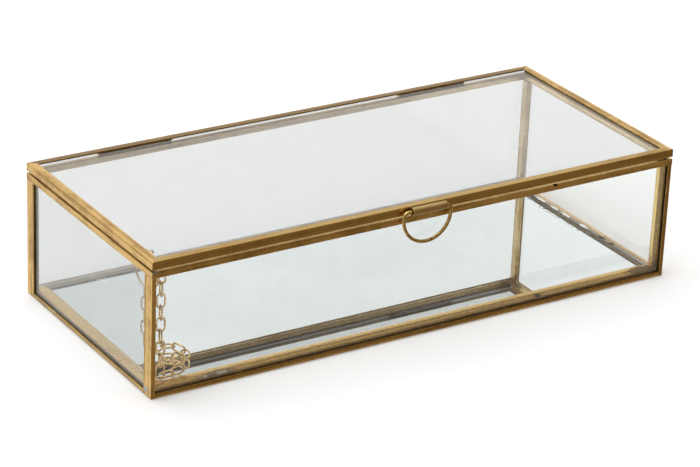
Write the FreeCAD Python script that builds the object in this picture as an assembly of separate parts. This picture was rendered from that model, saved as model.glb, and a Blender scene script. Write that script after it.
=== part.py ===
import FreeCAD, Part
import math
import os

V = FreeCAD.Vector

# Overall box, in mm. X runs left to right, -Y is the front, Z is up from the underside.
width = 230.0
depth = 100.0
base_height = 50.1
lid_gap = 0.9

# Sheet brass, glass and the small play they are assembled with.
sheet = 0.5
pane_t = 1.2
mirror_t = 2.0
lid_glass_t = 2.1
play = 0.05
edge_round = 0.25
same_point = 1e-6

# Frame sections.
post_face = 1.7
post_leg = 5.5
lip_height = 1.7
sill_leg = 5.4
bead_width = 5.0
bead_height = 1.1
bead_edge = 0.6
rim_height = 2.4
lid_flange_long = 3.2
lid_flange_end = 3.5

# Hinges on the back.
hinge_span = 31.5
hinge_from_end = 46.75
hinge_slit = 0.2
knuckle_r = 1.2
hinge_pin_r = 0.6
running_play = 0.04
knuckle_play = 0.35
leaf_t = 0.6
leaf_height = 2.1

# Pull on the front of the lid.
barrel_len = 15.0
barrel_shift = 0.2
barrel_r = 1.6
barrel_foot = 1.8
sink_depth = 0.5
sink_flare = 0.35
pull_wire_r = 0.7
pull_half_width = 10.4
pull_drop = 13.1
pull_bend = 2.0
pull_shift = -0.4
pull_tail = 3.5
pull_play = 0.08

# Stops that carry the closed lid.
stop_r = 0.6
stop_from_front = 3.0

# Chain: wire, links, rings and the pegs that hold them.
wire_r = 0.36
pitch_about = 4.7
link_wide = 3.8
link_play = 0.1
lid_ring = 5.0
base_ring_least = 9.6
lid_ring_turn = 0.0
lid_strand_turn = -12.0
base_ring_turn = 8.0
base_strand_turn = 45.0
peg_r = 0.45
peg_head_r = 0.8
peg_reach = 1.6
lug_t = 0.8
lug_wide = 1.2
glass_room = 0.8

# Chain: the strand on the lid, and the coil that leads from it to the strand on the base.
strand_lid_x = 7.5
strand_lid_y = 7.5
coil_sides = 6
coil_lead_links = 2
coil_turns = 9
coil_tail_links = 1
coil_rise = 3.9
end_gap = 0.3

# Heights and faces that follow from the sizes above.
lid_bottom = base_height + lid_gap
lid_t = lid_glass_t + 2 * play + 2 * sheet
lid_top = lid_bottom + lid_t
pane_in = sheet + play
pane_out = pane_in + pane_t
rim_depth = pane_out + play + sheet
rim_bottom = base_height - rim_height
mirror_top = sheet + mirror_t
bead_top = mirror_top + bead_height
hinge_centre = width / 2 - hinge_from_end
hinge_z = base_height + lid_gap / 2
hinge_proud = knuckle_r + knuckle_play
hinge_y = depth / 2 + hinge_proud
barrel_y = -depth / 2 - barrel_r
barrel_z = lid_bottom + lid_t / 2

# The origin lies under the middle of the box with its pull and hinges.
front_reach = 2 * barrel_r
back_reach = hinge_proud + knuckle_r
origin = V(0, (front_reach - back_reach) / 2, 0)

os.makedirs("parts", exist_ok=True)


def export(name, shapes):
    """Write one node from a solid or a list of solids."""
    solids = shapes if isinstance(shapes, list) else [shapes]
    shape = solids[0].copy() if len(solids) == 1 else Part.makeCompound(solids)
    shape.translate(origin)
    shape.exportStep("parts/" + name + ".step")


def outline(points):
    """Closed wire through 2-D points (u, v) or (u, v, radius), with u along Y and v along Z."""
    corners = [V(0, p[0], p[1]) for p in points]
    radii = [p[2] if len(p) > 2 else 0.0 for p in points]
    starts = []
    ends = []
    arcs = []
    for i, corner in enumerate(corners):
        if radii[i] == 0.0:
            starts.append(corner)
            ends.append(corner)
            arcs.append(None)
            continue
        before = (corners[i - 1] - corner).normalize()
        after = (corners[(i + 1) % len(corners)] - corner).normalize()
        half = before.getAngle(after) / 2
        reach = radii[i] / math.tan(half)
        middle = corner + (before + after).normalize() * (radii[i] / math.sin(half) - radii[i])
        starts.append(corner + before * reach)
        ends.append(corner + after * reach)
        arcs.append(middle)
    edges = []
    for i in range(len(corners)):
        if arcs[i] is not None:
            edges.append(Part.Arc(starts[i], arcs[i], ends[i]).toShape())
        following = starts[(i + 1) % len(corners)]
        if ends[i].distanceToPoint(following) > same_point:
            edges.append(Part.makeLine(ends[i], following))
    return Part.Wire(edges)


def bar(section, length):
    """Straight bar along X with the given section, its outer face at Y = 0."""
    solid = Part.Face(section).extrude(V(length, 0, 0))
    solid.translate(V(-length / 2, 0, 0))
    return solid


def mitre(solid, length, reach, back):
    """Cut both ends of a bar of depth `reach` so that each end goes back by `back` at its inner edge."""
    low = -play
    plan = [V(-length / 2, 0, low), V(length / 2, 0, low), V(length / 2 - back, reach, low),
            V(-length / 2 + back, reach, low), V(-length / 2, 0, low)]
    wedge = Part.Face(Part.makePolygon(plan)).extrude(V(0, 0, lid_top - 2 * low))
    return solid.common(wedge).Solids[0]


SIDES = {"front": (0, V(0, -1, 0)), "right": (90, V(1, 0, 0)),
         "back": (180, V(0, 1, 0)), "left": (270, V(-1, 0, 0))}


def span(side):
    return width if side in ("front", "back") else depth


def place(solid, side, inset=0.0):
    """Turn a bar made for the front to one side, its outer face `inset` inside the box's face."""
    turn, out = SIDES[side]
    solid = solid.copy()
    solid.rotate(V(0, 0, 0), V(0, 0, 1), turn)
    half = width / 2 if side in ("left", "right") else depth / 2
    solid.translate(out * (half - inset))
    return solid


def box(x0, x1, y0, y1, z0, z1):
    return Part.makeBox(x1 - x0, y1 - y0, z1 - z0, V(x0, y0, z0))


# Corner posts: an unequal angle with a rounded nose, made for the front left corner.
post_top = rim_bottom - play
post_plan = [(0, 0, edge_round), (post_face, 0), (post_face, sheet), (sheet, sheet), (sheet, post_leg),
             (0, post_leg)]
post = Part.Face(outline(post_plan)).extrude(V(post_top, 0, 0))
post.rotate(V(0, 0, 0), V(1, 1, 1), -120)
post.translate(V(-width / 2, -depth / 2, 0))
CORNERS = {"front_left": (False, False), "front_right": (True, False),
           "back_left": (False, True), "back_right": (True, True)}


def at_corner(solid, corner):
    """Mirror a piece made for the front left corner to another corner."""
    across, behind = CORNERS[corner]
    if across:
        solid = solid.mirror(V(0, 0, 0), V(1, 0, 0))
    if behind:
        solid = solid.mirror(V(0, 0, 0), V(0, 1, 0))
    return solid


# Domed bead, lying with its flat back on Z = 0 and its outer edge on Y = 0.
bead_sides = [V(0, 0, bead_edge), V(0, 0, 0), V(0, bead_width, 0), V(0, bead_width, bead_edge)]
bead_foot = Part.makePolygon(bead_sides)
bead_dome = Part.Arc(V(0, bead_width, bead_edge), V(0, bead_width / 2, bead_height), V(0, 0, bead_edge))
bead_section = Part.Wire(bead_foot.Edges + [bead_dome.toShape()])
post_bead_bottom = bead_top + play
post_bead_len = rim_bottom - play - post_bead_bottom
post_bead = bar(bead_section, post_bead_len)
post_bead.rotate(V(0, 0, 0), V(0, 1, 0), 90)
post_bead.translate(V(-width / 2 + pane_out + play, -depth / 2 + pane_out + play,
                      post_bead_bottom + post_bead_len / 2))

for corner in CORNERS:
    export("post_" + corner, at_corner(post, corner))
    export("post_bead_" + corner, at_corner(post_bead, corner))

# Bottom sills between the posts, floor beads, top rims and lid rails on the four sides. The lid's long
# rails are angles over the glass, and its end rails are channels that hold the glass from both sides.
sill_section = outline([(0, 0, edge_round), (sill_leg, 0), (sill_leg, sheet), (sheet, sheet),
                        (sheet, lip_height), (0, lip_height, edge_round)])
rim_web = base_height - sheet
rim_section = outline([(0, rim_bottom), (sheet, rim_bottom), (sheet, rim_web), (rim_depth - sheet, rim_web),
                       (rim_depth - sheet, rim_bottom), (rim_depth, rim_bottom),
                       (rim_depth, base_height, edge_round), (0, base_height, edge_round)])
glass_low = lid_bottom + sheet
glass_high = lid_top - sheet
lid_angle = outline([(0, lid_bottom), (sheet, lid_bottom), (sheet, glass_high), (lid_flange_long, glass_high),
                     (lid_flange_long, lid_top, edge_round), (0, lid_top, 2 * edge_round)])
lid_channel = outline([(0, lid_bottom, edge_round), (lid_flange_end, lid_bottom), (lid_flange_end, glass_low),
                       (sheet, glass_low), (sheet, glass_high), (lid_flange_end, glass_high),
                       (lid_flange_end, lid_top, edge_round), (0, lid_top, 2 * edge_round)])
floor_inset = pane_out + play
for side in SIDES:
    is_long = side in ("front", "back")
    butt = post_face if is_long else post_leg
    export("sill_" + side, place(bar(sill_section, span(side) - 2 * (butt + play)), side))
    bead_len = span(side) - 2 * floor_inset
    bead = bar(bead_section, bead_len)
    bead.translate(V(0, 0, mirror_top))
    export("floor_bead_" + side, place(mitre(bead, bead_len, bead_width, bead_width), side, floor_inset))
    rim = bar(rim_section, span(side))
    export("rim_" + side, place(mitre(rim, span(side), rim_depth, rim_depth), side))
    rail = bar(lid_angle if is_long else lid_channel, span(side))
    reach = lid_flange_long if is_long else lid_flange_end
    back = lid_flange_end if is_long else lid_flange_long
    export("lid_rail_" + side, place(mitre(rail, span(side), reach, back), side))

# Panes: front and back cover the edges of the end panes.
pane_low = sheet + play
pane_high = rim_web - play
pane_half = width / 2 - pane_in
pane_front = box(-pane_half, pane_half, -depth / 2 + pane_in, -depth / 2 + pane_out, pane_low, pane_high)
end_half = depth / 2 - pane_out - play
pane_left = box(-width / 2 + pane_in, -width / 2 + pane_out, -end_half, end_half, pane_low, pane_high)
export("pane_front", pane_front)
export("pane_back", pane_front.mirror(V(0, 0, 0), V(0, 1, 0)))
export("pane_left", pane_left)
export("pane_right", pane_left.mirror(V(0, 0, 0), V(1, 0, 0)))

# Mirror floor, held between the panes on the sills' legs.
mirror_half_x = width / 2 - floor_inset
mirror_half_y = depth / 2 - floor_inset
export("floor_mirror", box(-mirror_half_x, mirror_half_x, -mirror_half_y, mirror_half_y, sheet, mirror_top))

# Lid glass in its channel.
lid_inset = sheet + play
export("lid_glass", box(-width / 2 + lid_inset, width / 2 - lid_inset, -depth / 2 + lid_inset,
                        depth / 2 - lid_inset, glass_low + play, glass_high - play))

# Solder stops on the end rims.
stop_h = lid_gap - play
stops = []
for x in (-width / 2 + rim_depth / 2, width / 2 - rim_depth / 2):
    stops.append(Part.makeCylinder(stop_r, stop_h, V(x, -depth / 2 + stop_from_front, base_height)))
export("lid_stops", stops)

# Hinges: a tube with a leaf on the rim, a tube with a leaf on the lid, and a pin through both.
bore_r = hinge_pin_r + running_play
knuckle_len = (hinge_span - hinge_slit) / 2


def knuckle(x0, leaf_low, leaf_high):
    tube = Part.makeCylinder(knuckle_r, knuckle_len, V(x0, hinge_y, hinge_z), V(1, 0, 0))
    leaf = box(x0, x0 + knuckle_len, depth / 2, depth / 2 + leaf_t, leaf_low, leaf_high)
    bore = Part.makeCylinder(bore_r, knuckle_len, V(x0, hinge_y, hinge_z), V(1, 0, 0))
    return tube.fuse(leaf).cut(bore).removeSplitter().Solids[0]


for name, sign in (("left", -1), ("right", 1)):
    start = sign * hinge_centre - hinge_span / 2
    second = start + knuckle_len + hinge_slit
    base_x, lid_x = (start, second) if sign < 0 else (second, start)
    export("hinge_base_" + name, knuckle(base_x, base_height - leaf_height, base_height))
    export("hinge_lid_" + name, knuckle(lid_x, lid_bottom, lid_bottom + leaf_height))
    pin = Part.makeCylinder(hinge_pin_r, hinge_span, V(start, hinge_y, hinge_z), V(1, 0, 0))
    export("hinge_pin_" + name, pin)

# Pull barrel: a tube with a solder foot and countersunk ends.
barrel_x0 = barrel_shift - barrel_len / 2
barrel_bore = pull_wire_r + pull_play
barrel = Part.makeCylinder(barrel_r, barrel_len, V(barrel_x0, barrel_y, barrel_z), V(1, 0, 0))
foot = box(barrel_x0, barrel_x0 + barrel_len, barrel_y, -depth / 2, barrel_z - barrel_foot / 2,
           barrel_z + barrel_foot / 2)
barrel = barrel.fuse(foot)
barrel = barrel.cut(Part.makeCylinder(barrel_bore, barrel_len, V(barrel_x0, barrel_y, barrel_z), V(1, 0, 0)))
for x, way in ((barrel_x0, 1), (barrel_x0 + barrel_len, -1)):
    mouth = V(x, barrel_y, barrel_z)
    barrel = barrel.cut(Part.makeCone(barrel_bore + sink_flare, barrel_bore, sink_depth, mouth, V(way, 0, 0)))
export("pull_barrel", barrel.removeSplitter().Solids[0])

# Pull ring: a wire D whose ends run into the barrel.
right = pull_half_width
turn_z = pull_half_width - pull_drop
tail_in = barrel_len / 2 - pull_tail
quarter = math.sqrt(0.5)
pull_path = []


def at_pull(x, z):
    return V(pull_shift + x, barrel_y, barrel_z + z)


bend_mid = pull_bend * (1 - quarter)
pull_path.append(Part.makeLine(at_pull(-tail_in, 0), at_pull(-right + pull_bend, 0)))
pull_path.append(Part.Arc(at_pull(-right + pull_bend, 0), at_pull(-right + bend_mid, -bend_mid),
                          at_pull(-right, -pull_bend)).toShape())
pull_path.append(Part.makeLine(at_pull(-right, -pull_bend), at_pull(-right, turn_z)))
pull_path.append(Part.Arc(at_pull(-right, turn_z), at_pull(0, -pull_drop), at_pull(right, turn_z)).toShape())
pull_path.append(Part.makeLine(at_pull(right, turn_z), at_pull(right, -pull_bend)))
pull_path.append(Part.Arc(at_pull(right, -pull_bend), at_pull(right - bend_mid, -bend_mid),
                          at_pull(right - pull_bend, 0)).toShape())
pull_path.append(Part.makeLine(at_pull(right - pull_bend, 0), at_pull(tail_in, 0)))
pull_end = Part.Wire(Part.makeCircle(pull_wire_r, at_pull(-tail_in, 0), V(1, 0, 0)))
export("pull_ring", Part.Wire(pull_path).makePipeShell([pull_end], True, True))


# Chain pieces are made lying along X in the XY plane, and then turned into place.
def oval(long, wide):
    """Closed wire oval of the given outer size; a ring when both are equal."""
    bend_r = wide / 2 - wire_r
    straight = long - wide
    if straight < same_point:
        return Part.makeTorus(bend_r, wire_r)
    solid = None
    for x, turn in ((straight / 2, -90), (-straight / 2, 90)):
        half = Part.makeTorus(bend_r, wire_r, V(0, 0, 0), V(0, 0, 1), -180, 180, 180)
        half.rotate(V(0, 0, 0), V(0, 0, 1), turn)
        half.translate(V(x, 0, 0))
        solid = half if solid is None else solid.fuse(half)
    for y in (-bend_r, bend_r):
        solid = solid.fuse(Part.makeCylinder(wire_r, straight, V(-straight / 2, y, 0), V(1, 0, 0)))
    return solid.removeSplitter().Solids[0]


def put(piece, tip, along, across, piece_long):
    """Place a piece with its near end wire at `tip`, running along `along` in the plane of `across`."""
    normal = along.cross(across)
    centre = tip + along * (piece_long / 2 - wire_r)
    matrix = FreeCAD.Matrix(along.x, across.x, normal.x, centre.x, along.y, across.y, normal.y, centre.y,
                            along.z, across.z, normal.z, centre.z, 0, 0, 0, 1)
    placed = piece.copy()
    placed.Placement = FreeCAD.Placement(matrix)
    return placed


down = V(0, 0, -1)

# The lid's strand is a ring and an odd number of links that together reach from its peg to the floor.
overlap = 2 * wire_r + link_play
lid_pin_z = glass_low + play - glass_room - overlap - wire_r
lid_pin = V(-width / 2 + strand_lid_x, -depth / 2 + strand_lid_y, lid_pin_z)
coil_start_z = mirror_top + bead_edge + wire_r + link_play
links_hang = lid_pin.z - coil_start_z - (lid_ring - 2 * wire_r - overlap)
lid_strand_links = 2 * round((links_hang / pitch_about - 1) / 2) + 1
pitch = links_hang / lid_strand_links
link_long = pitch + 2 * wire_r + overlap
link = oval(link_long, link_wide)


def turned(degrees):
    """The Y direction, turned about the upright."""
    return V(-math.sin(math.radians(degrees)), math.cos(math.radians(degrees)), 0)


def strand(pin, ring_size, ring_turn, count, turn):
    """A ring around a peg at `pin` and `count` links below it, turned by degrees: solids and the last end."""
    tip = pin - down * overlap
    solids = [put(oval(ring_size, ring_size), tip, down, turned(ring_turn), ring_size)]
    tip = tip + down * (ring_size - 2 * wire_r - overlap)
    for i in range(count):
        across = turned(turn - 90) if i % 2 == 0 else turned(turn)
        solids.append(put(link, tip, down, across, link_long))
        tip = tip + down * pitch
    return solids, tip + down * overlap


def peg(x0, pin):
    """Straight peg along X from the frame past the strand, with a round head."""
    reach = pin.x + peg_reach - x0
    shaft = Part.makeCylinder(peg_r, reach, V(x0, pin.y, pin.z), V(1, 0, 0))
    return shaft.fuse(Part.makeSphere(peg_head_r, V(x0 + reach, pin.y, pin.z))).removeSplitter().Solids[0]


lid_solids, lid_end = strand(lid_pin, lid_ring, lid_ring_turn, lid_strand_links, lid_strand_turn)
lug_x = -width / 2 + lid_flange_end - lug_t
lug = box(lug_x, lug_x + lug_t, lid_pin.y - lug_wide / 2, lid_pin.y + lug_wide / 2, lid_pin.z - lug_wide / 2,
          lid_bottom)
export("chain_peg_lid", peg(lug_x + lug_t / 2, lid_pin).fuse(lug).removeSplitter().Solids[0])
export("chain_ring_lid", lid_solids[0])
export("chain_strand_lid", lid_solids[1:])

# Coil on the floor: a straight lead to the right, rounds of links that climb up, and a straight tail.
# A link that stands upright turns on its own end wire, and one that lies flat turns on the one before it.
rise = math.asin(coil_rise / (coil_sides * pitch))
headings = [math.pi / 2] * coil_lead_links
for i in range(coil_turns):
    headings.append(headings[-1] - 2 * math.pi / coil_sides)
headings += [headings[-1]] * coil_tail_links
coil_pins = [lid_end]
coil_pivots = []
coil_ways = []
for i, heading in enumerate(headings):
    way = V(math.sin(heading) * math.cos(rise), math.cos(heading) * math.cos(rise), math.sin(rise))
    flat = V(math.cos(heading), -math.sin(heading), 0)
    upright = i % 2 == 1
    before = coil_ways[-1] if coil_ways else down
    on_own = upright or i == 0
    tip = coil_pins[-1] - (before if on_own else way) * overlap
    export("chain_link_%02d" % (i + 1), put(link, tip, way, way.cross(flat) if upright else flat, link_long))
    coil_pivots.append(tip if on_own else coil_pins[-1])
    coil_ways.append(way)
    coil_pins.append(tip + way * (pitch + overlap))

# Strand hung from the base just past the coil's last link: all the links that fit, and a ring for the rest.
base_pin = V(coil_pins[-1].x - overlap, coil_pins[-1].y, base_height - rim_height / 2)
base_hang = base_pin.z - coil_pins[-1].z - 2 * wire_r - end_gap
base_strand_links = int((base_hang - base_ring_least + 2 * wire_r + overlap) / pitch)
base_ring = base_hang - base_strand_links * pitch + 2 * wire_r + overlap
base_solids, base_end = strand(base_pin, base_ring, base_ring_turn, base_strand_links, base_strand_turn)
export("chain_peg_base", peg(-width / 2 + rim_depth, base_pin))
export("chain_ring_base", base_solids[0])
export("chain_strand_base", base_solids[1:])
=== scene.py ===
import bpy
import math
from mathutils import Matrix, Vector

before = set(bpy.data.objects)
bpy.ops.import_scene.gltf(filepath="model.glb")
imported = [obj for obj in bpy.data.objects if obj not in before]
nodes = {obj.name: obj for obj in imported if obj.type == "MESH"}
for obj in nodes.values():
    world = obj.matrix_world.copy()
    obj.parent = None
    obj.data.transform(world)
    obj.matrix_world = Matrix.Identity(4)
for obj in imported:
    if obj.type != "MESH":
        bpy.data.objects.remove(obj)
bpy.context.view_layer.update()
scene = bpy.context.scene

MM = 0.001
# The box's footprint is centred a little behind the frame's origin.
BOX_Y = 0.225


def at(x, y, z):
    """A point given in mm from the centre of the box's underside, in metres in the shared frame."""
    return Vector((x, y + BOX_Y, z)) * MM


class Material:
    """A node material that is built line by line."""

    def __init__(self, name):
        self.material = bpy.data.materials.new(name)
        self.material.use_nodes = True
        self.tree = self.material.node_tree
        self.tree.nodes.clear()
        self.out = self.add("ShaderNodeOutputMaterial")
        self.shader = self.add("ShaderNodeBsdfPrincipled")
        self.link(self.shader.outputs[0], self.out.inputs["Surface"])
        self.coord = self.add("ShaderNodeTexCoord").outputs["Object"]

    def add(self, kind, **settings):
        node = self.tree.nodes.new(kind)
        for key, value in settings.items():
            setattr(node, key, value)
        return node

    def link(self, source, target):
        self.tree.links.new(source, target)

    def put(self, target, value):
        """Link an output, or set a constant."""
        if isinstance(value, bpy.types.NodeSocket):
            self.link(value, target)
        else:
            target.default_value = value

    def noise(self, scale, detail=4.0, rough=0.55, stretch=None, seed=0.0):
        vector = self.coord
        if stretch is not None or seed:
            mapping = self.add("ShaderNodeMapping")
            mapping.inputs["Scale"].default_value = stretch or (1, 1, 1)
            mapping.inputs["Location"].default_value = (seed, seed * 0.7, seed * 1.3)
            self.link(vector, mapping.inputs["Vector"])
            vector = mapping.outputs[0]
        node = self.add("ShaderNodeTexNoise")
        node.inputs["Scale"].default_value = scale
        node.inputs["Detail"].default_value = detail
        node.inputs["Roughness"].default_value = rough
        self.link(vector, node.inputs["Vector"])
        return node.outputs["Fac"]

    def fit(self, value, low, high, to_low=0.0, to_high=1.0, smooth=True):
        node = self.add("ShaderNodeMapRange", interpolation_type="SMOOTHSTEP" if smooth else "LINEAR")
        self.put(node.inputs["Value"], value)
        for name, number in (("From Min", low), ("From Max", high), ("To Min", to_low), ("To Max", to_high)):
            node.inputs[name].default_value = number
        return node.outputs["Result"]

    def math(self, operation, a, b=0.0):
        node = self.add("ShaderNodeMath", operation=operation)
        self.put(node.inputs[0], a)
        self.put(node.inputs[1], b)
        return node.outputs[0]

    def mix(self, factor, a, b):
        node = self.add("ShaderNodeMix", data_type="RGBA")
        self.put(node.inputs["Factor"], factor)
        self.put(node.inputs[6], a)
        self.put(node.inputs[7], b)
        return node.outputs[2]

    def blend(self, factor, a, b):
        node = self.add("ShaderNodeMix", data_type="FLOAT")
        self.put(node.inputs["Factor"], factor)
        self.put(node.inputs[2], a)
        self.put(node.inputs[3], b)
        return node.outputs[0]

    def patch(self, centre, radii, ragged=0.55, scale=900.0):
        """1 inside a ragged spot with the given centre and radii, in metres, and 0 outside."""
        mapping = self.add("ShaderNodeMapping", vector_type="TEXTURE")
        mapping.inputs["Location"].default_value = centre
        mapping.inputs["Scale"].default_value = radii
        self.link(self.coord, mapping.inputs["Vector"])
        length = self.add("ShaderNodeVectorMath", operation="LENGTH")
        self.link(mapping.outputs[0], length.inputs[0])
        edge = self.fit(self.noise(scale, 3.0), 0.2, 0.8, -ragged, ragged, False)
        return self.fit(self.math("ADD", length.outputs["Value"], edge), 1.15, 0.75)

    def band(self, axis, low, high, ragged=0.12):
        """0 up to one place on an axis and 1 from the other on, in mm of the frame, with a ragged edge."""
        split = self.add("ShaderNodeSeparateXYZ")
        self.link(self.coord, split.inputs[0])
        wave = self.fit(self.noise(90.0, 3.0, 0.5, seed=4.7), 0.3, 0.7, -ragged * MM, ragged * MM, False)
        return self.fit(self.math("ADD", split.outputs["XYZ".index(axis)], wave), low * MM, high * MM)

    def bump(self, height, strength, distance, normal=None):
        node = self.add("ShaderNodeBump")
        if normal is not None:
            self.link(normal, node.inputs["Normal"])
        node.inputs["Strength"].default_value = strength
        node.inputs["Distance"].default_value = distance
        self.link(height, node.inputs["Height"])
        self.link(node.outputs[0], self.shader.inputs["Normal"])


def rgb(r, g, b):
    return (r, g, b, 1.0)


GRAIN = {"x": (0.03, 1, 1), "y": (1, 0.03, 1), "z": (1, 1, 0.03), "none": (1, 1, 1)}
STREAK = {"x": (0.012, 1, 1), "y": (1, 0.012, 1), "z": (1, 1, 0.012), "none": (1, 1, 1)}
TIN = rgb(0.37, 0.345, 0.285)
SOOT = rgb(0.035, 0.022, 0.010)
CREASE_SHADE_BROWN = rgb(0.085, 0.050, 0.016)
PALE_GLINT = rgb(0.80, 0.80, 0.77)
RUBBED = rgb(0.72, 0.55, 0.30)
POLISHED_EDGE_HIGHLIGHT = rgb(0.82, 0.60, 0.27)

# How far painted shade reaches out of a crease, the radius of worn edges that also carry a painted highlight,
# and the depth of the drawn grain.
CREASE_REACH = 1.4 * MM
EDGE_RADIUS = 0.28 * MM
GRAIN_DEPTH = 0.05 * MM

GLASS_IOR = 1.47
DUST = rgb(0.70, 0.70, 0.68)
GLASS_SHADOW = rgb(0.93, 0.94, 0.935)
SILVER_DIM = rgb(0.80, 0.845, 0.85)
SILVER = rgb(0.86, 0.895, 0.895)
SILVER_BRIGHTENED = rgb(0.93, 0.96, 0.96)
SILVER_SPECK = rgb(0.45, 0.45, 0.43)
CUT_DARK = rgb(0.26, 0.155, 0.050)
CUT_LIGHT = rgb(0.40, 0.25, 0.085)


def brass(name, along, bright, deep, stain=0.44, rough=(0.15, 0.32), marks=(), shade_bands=(),
          edge_wear_and_highlight=1.0, crease_shade_strength=1.0):
    """Aged brass: drawn grain along one axis, clouds of tarnish, dark specks, painted shade in creases and in
    given bands, worn edges lightened partly as a painted highlight, and solder marks.
    """
    m = Material(name)
    shader = m.shader
    shader.inputs["Metallic"].default_value = 1.0
    grain = m.noise(1500.0, 5.0, 0.6, GRAIN[along])
    streak = m.noise(620.0, 3.0, 0.55, STREAK[along], 2.3)
    cloud = m.noise(85.0, 5.0, 0.62)
    blotch = m.noise(420.0, 4.0, 0.6, seed=3.1)
    fine = m.noise(2600.0, 3.0, 0.6, seed=1.7)
    worked = m.math("ADD", m.math("MULTIPLY", streak, 0.50), m.math("MULTIPLY", blotch, 0.15))
    age = m.math("ADD", m.math("MULTIPLY", cloud, 0.35), worked)
    tarnish = m.fit(m.math("ADD", age, m.fit(grain, 0.25, 0.75, -0.07, 0.07, False)), stain, stain + 0.17)
    colour = m.mix(tarnish, bright, deep)
    speck = m.fit(m.noise(1300.0, 2.0, 0.5, seed=7.3), 0.73, 0.80, 0.0, 0.7)
    colour = m.mix(speck, colour, SOOT)
    pale = m.fit(m.noise(210.0, 4.0, 0.6, seed=5.5), 0.58, 0.74, 0.0, 0.18)
    colour = m.mix(pale, colour, RUBBED)
    gloss = m.fit(m.math("ADD", m.math("MULTIPLY", grain, 0.5), m.math("MULTIPLY", blotch, 0.5)),
                  0.3, 0.7, rough[0], rough[1], False)
    gloss = m.math("ADD", gloss, m.math("MULTIPLY", tarnish, 0.12))
    # Painted shade: the colour darkens to a grimy brown, in patches, wherever ambient occlusion finds a
    # crease or a neighbouring part.
    crease = m.add("ShaderNodeAmbientOcclusion", samples=6)
    crease.inputs["Distance"].default_value = CREASE_REACH
    crease_shade = m.math("MULTIPLY", m.fit(crease.outputs["AO"], 0.62, 0.22),
                  m.fit(blotch, 0.3, 0.6, 0.45 * crease_shade_strength, 0.85 * crease_shade_strength))
    colour = m.mix(crease_shade, colour, CREASE_SHADE_BROWN)
    gloss = m.blend(crease_shade, gloss, 0.5)
    # Painted shade: each given band darkens one strip of the piece towards a shade colour.
    for axis, low, high, tint in shade_bands:
        shade_zone = m.band(axis, low, high)
        colour = m.mix(shade_zone, colour, m.mix(m.fit(streak, 0.4, 0.65, 0.0, 0.3), tint, deep))
    for centre, radii, tint, dull in marks:
        spot = m.patch(centre, radii)
        colour = m.mix(spot, colour, tint)
        gloss = m.blend(spot, gloss, dull)
    # Edges lightened to a polished colour with lower roughness: partly wear, partly a painted highlight.
    bevel = m.add("ShaderNodeBevel", samples=4)
    bevel.inputs["Radius"].default_value = EDGE_RADIUS
    geometry = m.add("ShaderNodeNewGeometry")
    facing = m.add("ShaderNodeVectorMath", operation="DOT_PRODUCT")
    m.link(bevel.outputs[0], facing.inputs[0])
    m.link(geometry.outputs["Normal"], facing.inputs[1])
    worn = m.math("MULTIPLY", m.fit(facing.outputs["Value"], 0.96, 0.78),
                  m.fit(blotch, 0.35, 0.6, 0.15 * edge_wear_and_highlight, 0.55 * edge_wear_and_highlight))
    colour = m.mix(worn, colour, POLISHED_EDGE_HIGHLIGHT)
    gloss = m.blend(worn, gloss, 0.22)
    m.link(colour, shader.inputs["Base Color"])
    m.link(gloss, shader.inputs["Roughness"])
    m.bump(m.math("ADD", m.math("MULTIPLY", grain, 0.6), m.math("MULTIPLY", fine, 0.4)), 0.22, GRAIN_DEPTH,
           bevel.outputs[0])
    return m.material


def glass(name, clear_tint, film_tint):
    """Clear float glass with a faint film of dust and wiped smears; lamps shine through it."""
    m = Material(name)
    shader = m.shader
    shader.inputs["Transmission Weight"].default_value = 1.0
    shader.inputs["IOR"].default_value = GLASS_IOR
    film = m.noise(38.0, 5.0, 0.6, (1, 1, 1), 2.2)
    wipe = m.noise(30.0, 4.0, 0.55, (3.0, 0.6, 1.5), 4.4)
    dust = m.fit(m.noise(1600.0, 2.0, 0.5, seed=9.1), 0.70, 0.80)
    haze = m.math("MULTIPLY", m.fit(film, 0.42, 0.75), m.fit(wipe, 0.4, 0.7))
    tint = m.mix(haze, clear_tint, film_tint)
    tint = m.mix(m.math("MULTIPLY", dust, 0.05), tint, DUST)
    m.link(tint, shader.inputs["Base Color"])
    shader.inputs["Roughness"].default_value = 0.0
    clear = m.add("ShaderNodeBsdfTransparent")
    clear.inputs["Color"].default_value = GLASS_SHADOW
    path = m.add("ShaderNodeLightPath")
    both = m.add("ShaderNodeMixShader")
    m.link(path.outputs["Is Shadow Ray"], both.inputs[0])
    m.link(shader.outputs[0], both.inputs[1])
    m.link(clear.outputs[0], both.inputs[2])
    m.link(both.outputs[0], m.out.inputs["Surface"])
    return m.material


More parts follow.
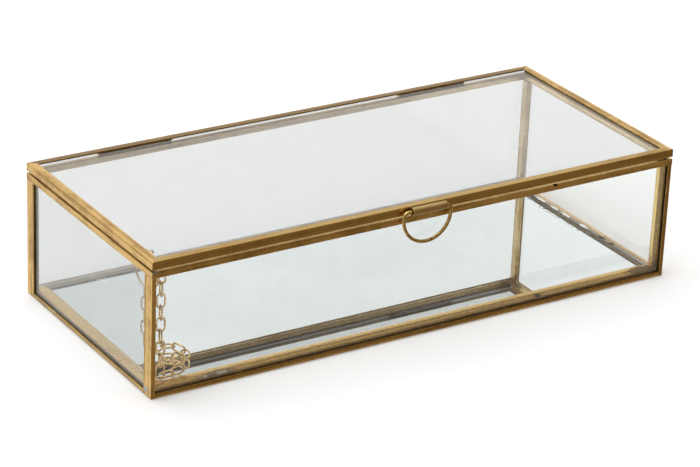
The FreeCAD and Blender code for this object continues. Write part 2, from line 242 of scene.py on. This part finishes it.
def mirror(name, worn):
    """Silvered glass: cool grey, a little uneven, with painted light that makes it brighter to the right,
    with lost silver and a scuff.
    """
    m = Material(name)
    shader = m.shader
    shader.inputs["Metallic"].default_value = 1.0
    cloud = m.noise(26.0, 4.0, 0.55)
    colour = m.mix(m.fit(cloud, 0.35, 0.7), SILVER_DIM, SILVER)
    # Painted light: the silver is lightened towards the right.
    brightening = m.math("MULTIPLY", m.band("X", 30.0, 105.0), 0.6)
    colour = m.mix(brightening, colour, SILVER_BRIGHTENED)
    gloss = m.fit(m.noise(60.0, 4.0, 0.6, seed=2.0), 0.4, 0.75, 0.0, 0.012)
    flake = m.fit(m.noise(700.0, 4.0, 0.65, seed=6.0), 0.50, 0.58)
    for centre, radii, tint, strength in worn:
        lost = m.math("MULTIPLY", m.math("MULTIPLY", m.patch(centre, radii, 0.5, 160.0), flake), strength)
        colour = m.mix(lost, colour, tint)
        gloss = m.blend(lost, gloss, 0.5)
    speck = m.fit(m.noise(900.0, 2.0, 0.5, seed=8.0), 0.74, 0.80, 0.0, 0.35)
    colour = m.mix(speck, colour, SILVER_SPECK)
    normal = m.add("ShaderNodeTexCoord").outputs["Normal"]
    upward = m.add("ShaderNodeSeparateXYZ")
    m.link(normal, upward.inputs[0])
    cut = m.fit(upward.outputs["Z"], 0.7, 0.3)
    rubbed = m.fit(m.noise(500.0, 4.0, 0.6, seed=4.0), 0.3, 0.7)
    colour = m.mix(cut, colour, m.mix(rubbed, CUT_DARK, CUT_LIGHT))
    gloss = m.blend(cut, gloss, 0.4)
    m.link(colour, shader.inputs["Base Color"])
    m.link(gloss, shader.inputs["Roughness"])
    return m.material


GOLD = rgb(0.65, 0.415, 0.135)
BROWN = rgb(0.34, 0.195, 0.050)
DARK = rgb(0.21, 0.120, 0.035)
OLIVE = rgb(0.56, 0.40, 0.135)
UMBER = rgb(0.27, 0.165, 0.050)
TAN = rgb(0.46, 0.31, 0.125)
LINK = rgb(0.78, 0.58, 0.29)
LINK_DEEP = rgb(0.28, 0.19, 0.080)
DULL = rgb(0.40, 0.345, 0.25)
DULL_DEEP = rgb(0.20, 0.175, 0.135)
BEIGE = rgb(0.62, 0.47, 0.25)
GREY_SHADE = rgb(0.30, 0.285, 0.25)
INK_SHADE = rgb(0.075, 0.070, 0.060)
GILT = rgb(0.70, 0.465, 0.165)
YELLOW = rgb(0.92, 0.67, 0.25)
AMBER_SHADE = rgb(0.27, 0.155, 0.033)
CHESTNUT_SHADE = rgb(0.30, 0.175, 0.045)
MUTED = rgb(0.46, 0.29, 0.088)
AGED = rgb(0.42, 0.27, 0.085)
CREAM = rgb(0.88, 0.66, 0.34)
CREAM_DEEP = rgb(0.56, 0.38, 0.15)
SOLDER = rgb(0.27, 0.235, 0.175)
BARE = rgb(0.16, 0.15, 0.13)
SCUFF = rgb(0.96, 0.96, 0.95)

# Solder, soot and scuffs: centre, radii, colour and roughness.
bead_marks = (
    (at(55.5, -47.6, 3.0), Vector((1.2, 1.5, 1.2)) * MM, SOOT, 0.6),
    (at(-87.3, -47.8, 3.0), Vector((8.0, 1.8, 1.4)) * MM, rgb(0.15, 0.090, 0.055), 0.5),
    (at(-84.8, -47.9, 2.9), Vector((2.6, 1.1, 0.9)) * MM, SOLDER, 0.45),
    (at(-91.7, -48.0, 2.9), Vector((1.0, 0.8, 0.8)) * MM, SOLDER, 0.3),
    (at(106.5, -47.0, 3.0), Vector((8.0, 2.5, 1.5)) * MM, rgb(0.13, 0.075, 0.025), 0.5),
)
rim_marks = (
    (at(59.1, -50.0, 49.9), Vector((0.9, 0.8, 0.8)) * MM, SOOT, 0.6),
    (at(-114.2, -49.6, 50.0), Vector((1.5, 1.2, 0.8)) * MM, TIN, 0.35),
)
end_marks = ((at(-114.0, 27.6, 2.2), Vector((2.0, 1.4, 1.2)) * MM, TIN, 0.4),)
# Flecks along the inner edge of the right floor bead: the pale ones are painted highlights and the dark ones
# are specks.
glint_and_speck_marks = tuple(
    (at(109.9, y, 3.4), Vector((0.7, length, 0.8)) * MM, tint, 0.35)
    for y, length, tint in ((27.0, 3.6, PALE_GLINT), (17.5, 2.6, PALE_GLINT), (9.5, 3.2, PALE_GLINT), (-3.0, 3.0, PALE_GLINT),
                            (-16.0, 2.4, SOOT), (-22.5, 1.6, SOOT), (36.0, 2.0, PALE_GLINT)))
post_marks = ((at(-115.0, -46.0, 2.4), Vector((0.8, 1.7, 1.2)) * MM, TIN, 0.4),)

# The bands given below are painted shade: darker strips on the back lid rail, the front sill above its lip,
# the outer slope of the front floor bead, the inner part of the right floor bead and the front post beads.
frame_x = brass("brass_frame_x", "x", GOLD, BROWN)
frame_rim = brass("brass_frame_rim", "x", MUTED, BROWN, marks=rim_marks)
rail_back = brass("brass_rail_back", "x", AGED, DARK, 0.40, shade_bands=(("Y", 48.9, 48.3, DARK),), edge_wear_and_highlight=0.5)
rim_edge = brass("brass_rim_front", "x", GOLD, BROWN, marks=rim_marks, edge_wear_and_highlight=0.6, crease_shade_strength=0.5)
sill_front = brass("brass_sill_front", "x", GOLD, BROWN, shade_bands=(("Z", 0.95, 1.25, CHESTNUT_SHADE),), edge_wear_and_highlight=0.5,
                   crease_shade_strength=0.4)
bead_front = brass("brass_bead_front", "x", GILT, GOLD, 0.42, marks=bead_marks,
                   shade_bands=(("Y", -45.5, -46.2, AMBER_SHADE),), crease_shade_strength=0.4)
bead_right = brass("brass_bead_right", "y", GOLD, BROWN, marks=glint_and_speck_marks,
                   shade_bands=(("X", 111.0, 110.6, GREY_SHADE), ("X", 109.5, 109.1, INK_SHADE)))
frame_y = brass("brass_frame_y", "y", GOLD, BROWN)
bead_left = brass("brass_bead_left", "y", GILT, GOLD, 0.44, crease_shade_strength=0.3)
sill_left = brass("brass_sill_left", "y", AGED, DARK, marks=end_marks)
frame_z = brass("brass_frame_z", "z", GOLD, BROWN, marks=post_marks, crease_shade_strength=0.6)
inner_z = brass("brass_inner_z", "z", BEIGE, BROWN)
front_z = brass("brass_front_z", "z", YELLOW, GILT, 0.5, shade_bands=(("Y", -45.4, -45.9, AMBER_SHADE),), crease_shade_strength=0.4)
inner_x = brass("brass_inner_x", "x", BEIGE, BROWN)
inner_y = brass("brass_inner_y", "y", CREAM, CREAM_DEEP, crease_shade_strength=0.4)
# The back floor bead's grey, dull colour is painted shade and a painted veil of reflection.
back_bead = brass("brass_back_bead", "x", DULL, DULL_DEEP, 0.40, (0.28, 0.45))
barrel = brass("brass_barrel", "x", TAN, UMBER, 0.46, (0.20, 0.34), crease_shade_strength=0.7)
fitting = brass("brass_fittings", "none", OLIVE, UMBER, 0.46, (0.10, 0.22), crease_shade_strength=0.5)
hinge = brass("brass_hinge", "x", GOLD, UMBER, 0.40, (0.24, 0.44))
chain = brass("brass_chain", "none", LINK, LINK_DEEP, 0.47, (0.16, 0.30), crease_shade_strength=0.35)
pane = glass("glass_pane", rgb(0.925, 0.935, 0.928), rgb(0.90, 0.91, 0.905))
# The left pane and the lid glass are tinted darker than the other panes: painted shade.
shaded_left_pane = glass("glass_left", rgb(0.67, 0.69, 0.68), rgb(0.645, 0.665, 0.655))
shaded_lid_pane = glass("glass_lid", rgb(0.722, 0.740, 0.740), rgb(0.697, 0.715, 0.715))
silver = mirror("mirror_silver", (
    (at(108.0, 10.0, 2.5), Vector((2.2, 28.0, 2.0)) * MM, BARE, 0.55),
    (at(108.0, 22.4, 2.5), Vector((1.6, 3.0, 2.0)) * MM, BARE, 1.0),
    (at(-86.0, 41.3, 2.5), Vector((4.0, 2.0, 2.0)) * MM, SCUFF, 0.9),
))


FINISHES = {
    "pane_left": shaded_left_pane, "lid_glass": shaded_lid_pane, "floor_mirror": silver,
    "pull_barrel": barrel, "pull_ring": fitting, "lid_stops": fitting,
    "floor_bead_front": bead_front, "floor_bead_back": back_bead,
    "floor_bead_left": bead_left, "floor_bead_right": bead_right,
    "sill_front": sill_front, "sill_left": sill_left,
    "rim_front": rim_edge, "rim_back": inner_x, "rim_right": inner_y,
    "lid_rail_front": frame_rim, "lid_rail_back": rail_back,
}
GROUPS = (
    ("pane_", pane), ("chain_", chain), ("hinge_", hinge),
    ("post_bead_front", front_z), ("post_bead_", inner_z), ("post_", frame_z),
)


def choose(name):
    """A piece's own finish, or that of its group, or plain brass drawn along the piece."""
    if name in FINISHES:
        return FINISHES[name]
    for start, finish in GROUPS:
        if name.startswith(start):
            return finish
    return frame_x if name.endswith(("front", "back")) else frame_y


for name, obj in nodes.items():
    finish = choose(name)
    for slot in obj.material_slots:
        slot.link = "OBJECT"
        slot.material = finish

# Floor, with a plain pale surface.
floor_mesh = bpy.data.meshes.new("floor")
half = 6.0  # metres
corners = [(-half, -half, 0), (half, -half, 0), (half, half, 0), (-half, half, 0)]
floor_mesh.from_pydata(corners, [], [(0, 1, 2, 3)])
floor = bpy.data.objects.new("floor", floor_mesh)
scene.collection.objects.link(floor)
floor.location.z = -0.2 * MM
pale = Material("pale_floor")
pale.shader.inputs["Base Color"].default_value = rgb(0.90, 0.90, 0.905)
pale.shader.inputs["Roughness"].default_value = 0.9
pale.shader.inputs["Specular IOR Level"].default_value = 0.0
floor_mesh.materials.append(pale.material)
floor.visible_glossy = False

# Soft studio light: bright behind, above and to the left, dim in front and to the right.
world = bpy.data.worlds.new("studio")
scene.world = world
world.use_nodes = True
tree = world.node_tree
tree.nodes.clear()
coord = tree.nodes.new("ShaderNodeTexCoord")
toward = tree.nodes.new("ShaderNodeVectorMath")
toward.operation = "DOT_PRODUCT"
toward.inputs[1].default_value = Vector((0.25, -0.95, -0.20)).normalized()
tree.links.new(coord.outputs["Generated"], toward.inputs[0])
ramp = tree.nodes.new("ShaderNodeMapRange")
ramp.interpolation_type = "SMOOTHSTEP"
for key, number in (("From Min", -0.15), ("From Max", 0.75)):
    ramp.inputs[key].default_value = number
tree.links.new(toward.outputs["Value"], ramp.inputs["Value"])
tone = tree.nodes.new("ShaderNodeMix")
tone.data_type = "RGBA"
tone.inputs[6].default_value = (1.10, 1.10, 1.10, 1.0)
tone.inputs[7].default_value = (0.32, 0.255, 0.195, 1.0)
tree.links.new(ramp.outputs[0], tone.inputs["Factor"])
background = tree.nodes.new("ShaderNodeBackground")
tree.links.new(tone.outputs[2], background.inputs["Color"])
output = tree.nodes.new("ShaderNodeOutputWorld")
tree.links.new(background.outputs[0], output.inputs["Surface"])


def softbox(name, place, aim, size, power):
    light = bpy.data.lights.new(name, "AREA")
    light.shape = "RECTANGLE"
    light.size = size[0]
    light.size_y = size[1]
    light.energy = power
    obj = bpy.data.objects.new(name, light)
    scene.collection.objects.link(obj)
    obj.location = place
    obj.rotation_euler = (Vector(aim) - Vector(place)).to_track_quat("-Z", "Y").to_euler()


softbox("top_light", (-0.3, 0.5, 1.6), (0, 0, 0), (1.8, 1.4), 16.0)

# Camera at the photograph's viewing angle; lengths in pixels were solved for a picture 700 pixels wide.
PICTURE_WIDE = 700.0
SENSOR = 36.0
azimuth, elevation, roll = (math.radians(a) for a in (32.832, 24.258, 2.482))
distance = 1.13047
focal = 2917.35 / PICTURE_WIDE
offset = (2.34 / PICTURE_WIDE, -8.53 / PICTURE_WIDE)
level = math.cos(elevation)
ahead = Vector((math.sin(azimuth) * level, math.cos(azimuth) * level, -math.sin(elevation)))
right = Vector((math.cos(azimuth), -math.sin(azimuth), 0))
down = -right.cross(ahead)
side = right * math.cos(roll) - down * math.sin(roll)
below = right * math.sin(roll) + down * math.cos(roll)
camera = bpy.data.objects.new("camera", bpy.data.cameras.new("camera"))
scene.collection.objects.link(camera)
camera.matrix_world = Matrix.Translation(at(0, 0, 25) - ahead * distance) @ Matrix(
    ((side.x, -below.x, -ahead.x), (side.y, -below.y, -ahead.y), (side.z, -below.z, -ahead.z))).to_4x4()
camera.data.sensor_width = SENSOR
camera.data.lens = focal * SENSOR
camera.data.shift_x = -offset[0]
camera.data.shift_y = offset[1]
camera.data.clip_start = 0.01
scene.camera = camera
scene.view_settings.view_transform = "Standard"
scene.cycles.max_bounces = 20
scene.cycles.transmission_bounces = 20
scene.cycles.transparent_max_bounces = 24
scene.cycles.glossy_bounces = 10
